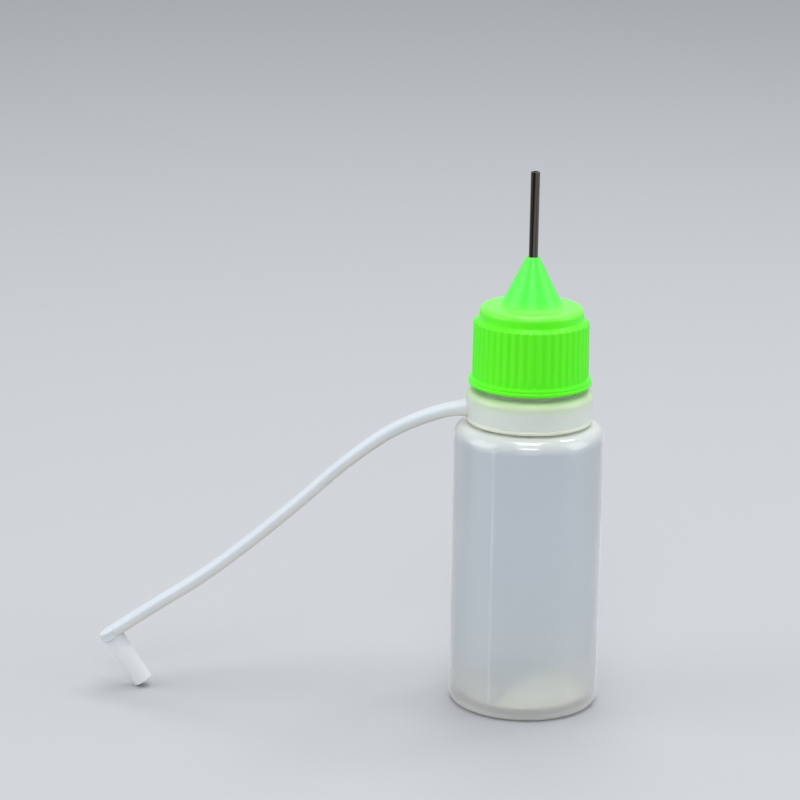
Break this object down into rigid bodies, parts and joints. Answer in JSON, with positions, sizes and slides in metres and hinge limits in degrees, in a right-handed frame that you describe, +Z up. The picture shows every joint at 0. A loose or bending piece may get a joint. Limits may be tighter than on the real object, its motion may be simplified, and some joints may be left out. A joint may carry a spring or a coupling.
{
  "type": "needle-tip glue applicator bottle",
  "caption": "Small translucent squeeze bottle with a ribbed screw cap, a blunt steel dispensing needle and a tethered needle cover on a flexible strap.",
  "frame": {"origin": "on the bottle's axis, at the recessed panel of the base, within half a millimetre of the plane it stands on", "axes": "+Z up along the bottle's axis through the needle; the strap leaves the collar along -X"},
  "size_m": [0.071, 0.021, 0.076],
  "materials": {
    "bottle_polyethylene": "translucent frosted natural polyethylene",
    "cap_green": "bright translucent green, semi-gloss",
    "needle_steel": "drawn stainless tube, polished",
    "tether_polyethylene": "milky translucent soft plastic, satin"
  },
  "bodies": {
    "bottle": {"bottle": "bottle_polyethylene"},
    "needle": {"needle": "needle_steel"},
    "cap": {"needle_cap": "cap_green"},
    "collar": {"collar": "tether_polyethylene"},
    "strap_1": {"strap_link_1": "tether_polyethylene"},
    "strap_2": {"strap_link_2": "tether_polyethylene"},
    "strap_3": {"strap_link_3": "tether_polyethylene"},
    "strap_4": {"strap_link_4": "tether_polyethylene"},
    "strap_5": {"strap_link_5": "tether_polyethylene"},
    "strap_6": {"strap_link_6": "tether_polyethylene"},
    "strap_7": {"strap_link_7": "tether_polyethylene"},
    "strap_8": {"strap_link_8": "tether_polyethylene"},
    "cover": {"needle_cover": "tether_polyethylene"}
  },
  "joints": [
    {"name": "cap_lift", "type": "slide", "parent": "bottle", "child": "needle", "axis": [0, 0, 1], "range_m": [0, 0.00263]},
    {"name": "cap_turn", "type": "hinge", "parent": "needle", "child": "cap", "pos_m": [0, 0, 0.05], "axis": [0, 0, 1], "range_deg": [0, 450.5]},
    {"name": "collar_turn", "type": "hinge", "parent": "bottle", "child": "collar", "pos_m": [0, 0, 0.043], "axis": [0, 0, 1], "continuous": true},
    {"name": "strap_curl", "type": "hinge", "parent": "collar", "child": "strap_1", "pos_m": [-0.01137, 0, 0.04236], "axis": [0, 1, 0], "range_deg": [0, 51.05], "stiffness_Nm_per_rad": 0.01},
    {"name": "strap_bend_2", "type": "hinge", "parent": "strap_1", "child": "strap_2", "pos_m": [-0.01777, 0, 0.0399], "axis": [0, 1, 0], "range_deg": [0, 37.3]},
    {"name": "strap_bend_3", "type": "hinge", "parent": "strap_2", "child": "strap_3", "pos_m": [-0.02341, 0, 0.03601], "axis": [0, 1, 0], "range_deg": [0, 25.7]},
    {"name": "strap_bend_4", "type": "hinge", "parent": "strap_3", "child": "strap_4", "pos_m": [-0.02862, 0, 0.03153], "axis": [0, 1, 0], "range_deg": [0, 19.1]},
    {"name": "strap_bend_5", "type": "hinge", "parent": "strap_4", "child": "strap_5", "pos_m": [-0.03369, 0, 0.02689], "axis": [0, 1, 0], "range_deg": [0, 16.3]},
    {"name": "strap_bend_6", "type": "hinge", "parent": "strap_5", "child": "strap_6", "pos_m": [-0.03886, 0, 0.02237], "axis": [0, 1, 0], "range_deg": [0, 17.6]},
    {"name": "strap_bend_7", "type": "hinge", "parent": "strap_6", "child": "strap_7", "pos_m": [-0.04418, 0, 0.01803], "axis": [0, 1, 0], "range_deg": [0, 20.3]},
    {"name": "strap_bend_8", "type": "hinge", "parent": "strap_7", "child": "strap_8", "pos_m": [-0.04978, 0, 0.01404], "axis": [0, 1, 0], "range_deg": [0, 29.1]},
    {"name": "strap_twist", "type": "hinge", "parent": "strap_8", "child": "cover", "pos_m": [-0.05391, 0, 0.01123], "axis": [-0.8256, 0, -0.5643], "range_deg": [0, 180], "stiffness_Nm_per_rad": 0.0002}
  ],
  "couplings": [
    {"joint": "cap_turn", "follows": "cap_lift", "rad_per_m": 2992},
    {"joint": "strap_bend_2", "follows": "strap_curl", "ratio": 0.72895},
    {"joint": "strap_bend_3", "follows": "strap_curl", "ratio": 0.50219},
    {"joint": "strap_bend_4", "follows": "strap_curl", "ratio": 0.37218},
    {"joint": "strap_bend_5", "follows": "strap_curl", "ratio": 0.31788},
    {"joint": "strap_bend_6", "follows": "strap_curl", "ratio": 0.34303},
    {"joint": "strap_bend_7", "follows": "strap_curl", "ratio": 0.39548},
    {"joint": "strap_bend_8", "follows": "strap_curl", "ratio": 0.56808}
  ]
}
